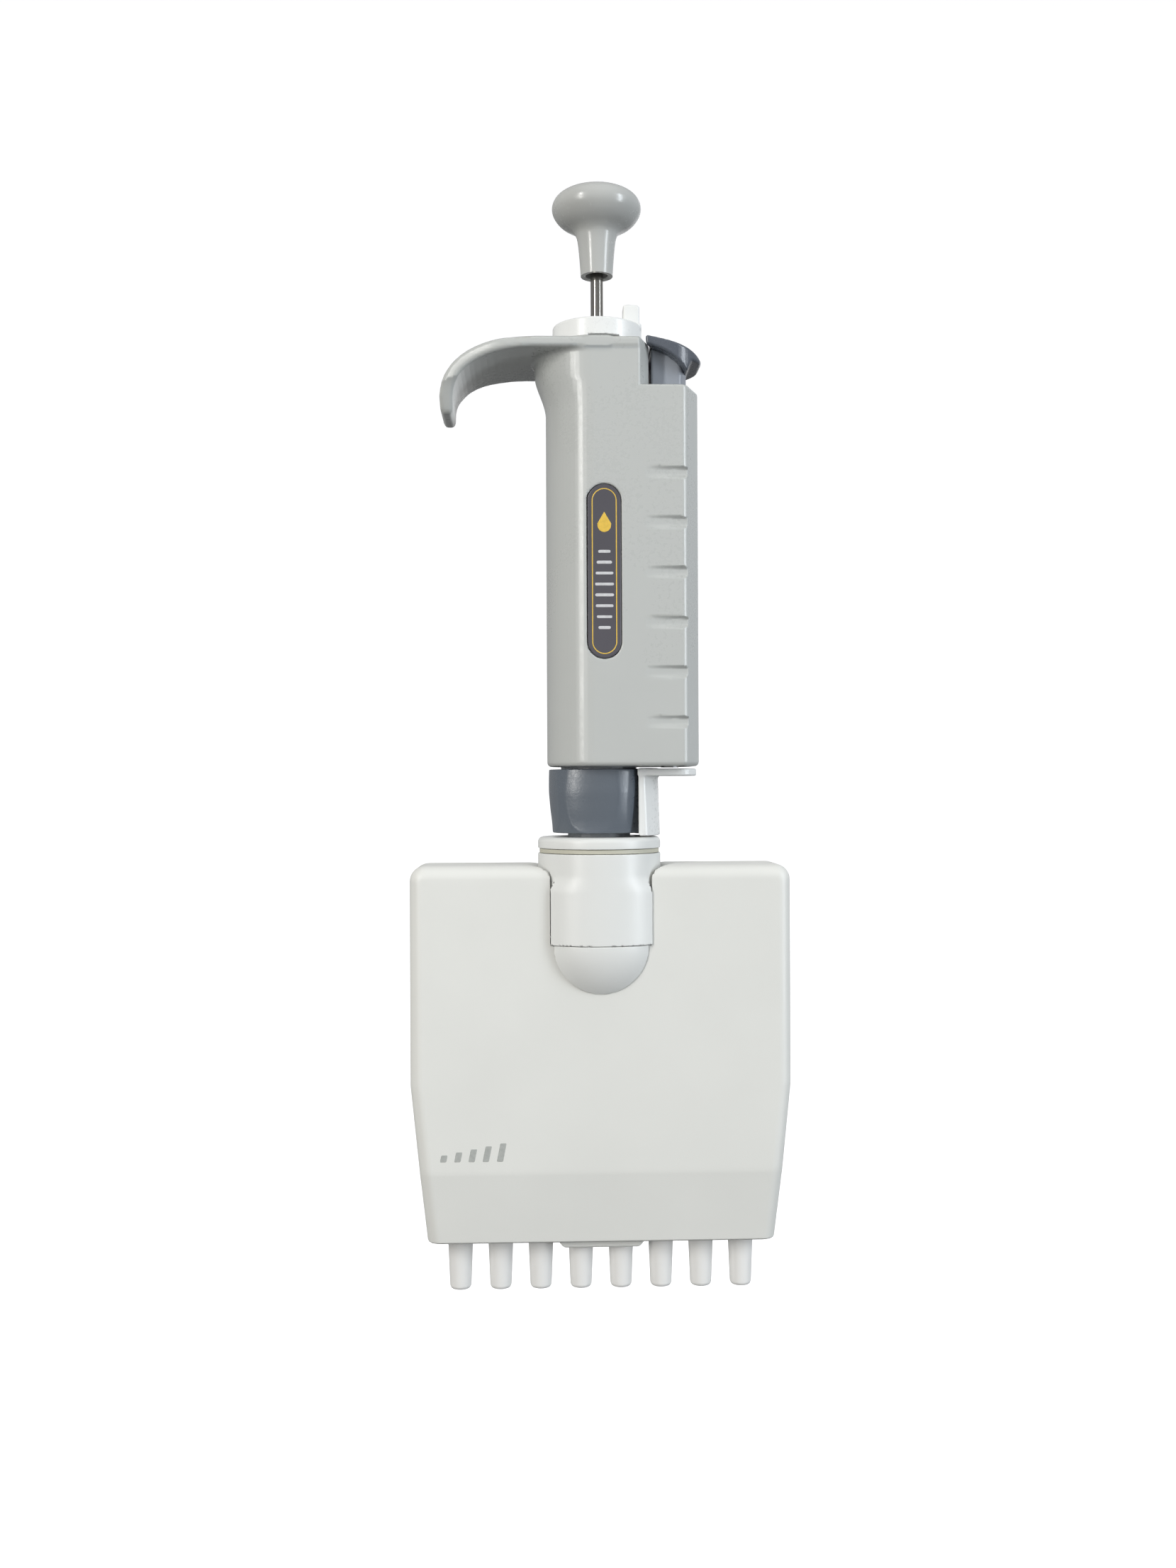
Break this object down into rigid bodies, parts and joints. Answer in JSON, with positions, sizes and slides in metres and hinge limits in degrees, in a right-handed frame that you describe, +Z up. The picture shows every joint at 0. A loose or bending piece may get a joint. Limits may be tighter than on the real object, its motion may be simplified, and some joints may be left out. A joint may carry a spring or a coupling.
{
  "type": "multichannel pipette",
  "caption": "Hand-held multichannel pipette with a press-and-turn plunger, finger hook, thumb tip ejector and a swivelling manifold that carries a row of tip cones.",
  "frame": {"origin": "on the plunger axis, level with the open ends of the tip cones; the middle of the bounding box's bottom", "axes": "+Z up the plunger axis towards the push button, +X from the finger hook towards the tip ejector, the front with the grip badge faces -Y"},
  "size_m": [0.0842, 0.0298, 0.2469],
  "materials": {
    "handle_plastic": "fine satin texture, light grey",
    "manifold_plastic": "fine satin texture, warm off-white",
    "knob_plastic": "satin, light grey",
    "dark_plastic": "satin, slate grey",
    "white_plastic": "semi-gloss, white",
    "cone_plastic": "satin, mid grey",
    "inner_plastic": "matt, mid grey",
    "band_plastic": "matt, olive grey",
    "steel": "polished stainless steel",
    "spring_steel": "bright drawn wire",
    "badge": "dark anodised with a fine gilt line",
    "gasket_rubber": "matt black",
    "lens": "clear polished plastic"
  },
  "bodies": {
    "handle": {"handle_shell": "handle_plastic", "badge_plate": "badge", "display_lens": "lens", "top_bush": "inner_plastic", "handle_core": "inner_plastic", "plunger_spring": "spring_steel", "blowout_washer": "steel", "blowout_spring": "spring_steel", "stop_nut": "inner_plastic", "counter_holder": "inner_plastic", "ejector_spring": "spring_steel"},
    "volume_drive": {"volume_drive": "inner_plastic"},
    "plunger": {"push_button": "knob_plastic", "plunger_rod": "steel"},
    "counter_hundreds": {"counter_wheel_hundreds": "white_plastic"},
    "counter_tens": {"counter_wheel_tens": "white_plastic"},
    "counter_units": {"counter_wheel_units": "white_plastic"},
    "lock": {"lock_lever": "white_plastic"},
    "ejector": {"ejector_button": "dark_plastic", "ejector_rod": "steel", "ejector_arm": "white_plastic", "ejector_collar": "manifold_plastic"},
    "nut": {"coupling_nut": "dark_plastic"},
    "manifold": {"manifold_frame": "inner_plastic", "manifold_front_cover": "manifold_plastic", "manifold_rear_cover": "manifold_plastic", "cover_screw_1": "steel", "cover_screw_2": "steel", "nozzle_block": "inner_plastic", "piston_gasket": "gasket_rubber", "seal_plate": "steel", "guide_post_left": "steel", "guide_post_right": "steel", "piston_spring_left": "spring_steel", "piston_spring_right": "spring_steel", "sleeve_spring": "spring_steel", "tip_cone_1": "cone_plastic", "tip_cone_2": "cone_plastic", "tip_cone_3": "cone_plastic", "tip_cone_4": "cone_plastic", "tip_cone_5": "cone_plastic", "tip_cone_6": "cone_plastic", "tip_cone_7": "cone_plastic", "tip_cone_8": "cone_plastic"},
    "sleeve": {"ejector_sleeve": "manifold_plastic", "sleeve_nose_front": "manifold_plastic", "sleeve_nose_rear": "manifold_plastic", "slip_ring": "band_plastic", "ejector_yoke": "steel", "ejector_comb": "manifold_plastic"},
    "piston_drive": {"piston_crosshead": "inner_plastic", "push_rod": "steel", "piston_1": "steel", "piston_2": "steel", "piston_3": "steel", "piston_4": "steel", "piston_5": "steel", "piston_6": "steel", "piston_7": "steel", "piston_8": "steel"}
  },
  "joints": [
    {"name": "volume_turn", "type": "hinge", "parent": "handle", "child": "volume_drive", "pos_m": [0, 0, 0.19], "axis": [0, 0, 1], "range_deg": [-6480, 0]},
    {"name": "plunger_press", "type": "slide", "parent": "volume_drive", "child": "plunger", "axis": [0, 0, 1], "range_m": [-0.0115, 0], "stiffness_N_per_m": 260, "springref_m": 0.008, "deforming": ["plunger_spring"]},
    {"name": "units_turn", "type": "hinge", "parent": "handle", "child": "counter_units", "pos_m": [0, 0, 0.1876], "axis": [0, 0, 1], "range_deg": [-6480, 0]},
    {"name": "tens_turn", "type": "hinge", "parent": "handle", "child": "counter_tens", "pos_m": [0, 0, 0.1824], "axis": [0, 0, 1], "range_deg": [-648, 0]},
    {"name": "hundreds_turn", "type": "hinge", "parent": "handle", "child": "counter_hundreds", "pos_m": [0, 0, 0.1772], "axis": [0, 0, 1], "range_deg": [-64.8, 0]},
    {"name": "lock_turn", "type": "hinge", "parent": "handle", "child": "lock", "pos_m": [0, 0, 0.213], "axis": [0, 0, 1], "range_deg": [-45, 0]},
    {"name": "ejector_press", "type": "slide", "parent": "handle", "child": "ejector", "axis": [0, 0, 1], "range_m": [-0.0038, 0], "stiffness_N_per_m": 400, "springref_m": 0.006, "deforming": ["ejector_spring"]},
    {"name": "nut_turn", "type": "hinge", "parent": "handle", "child": "nut", "pos_m": [0, 0, 0.109], "axis": [0, 0, 1], "range_deg": [-1080, 0]},
    {"name": "manifold_swivel", "type": "hinge", "parent": "handle", "child": "manifold", "pos_m": [0, 0, 0.1053], "axis": [0, 0, 1], "continuous": true},
    {"name": "sleeve_slide", "type": "slide", "parent": "manifold", "child": "sleeve", "axis": [0, 0, 1], "range_m": [-0.0038, 0], "deforming": ["sleeve_spring"]},
    {"name": "piston_slide", "type": "slide", "parent": "manifold", "child": "piston_drive", "axis": [0, 0, 1], "range_m": [-0.0115, 0], "deforming": ["piston_spring_left", "piston_spring_right"]}
  ],
  "couplings": [
    {"joint": "units_turn", "follows": "volume_turn", "ratio": 1},
    {"joint": "tens_turn", "follows": "volume_turn", "ratio": 0.1},
    {"joint": "hundreds_turn", "follows": "volume_turn", "ratio": 0.01},
    {"joint": "sleeve_slide", "follows": "ejector_press", "ratio": 1},
    {"joint": "piston_slide", "follows": "plunger_press", "ratio": 1}
  ]
}
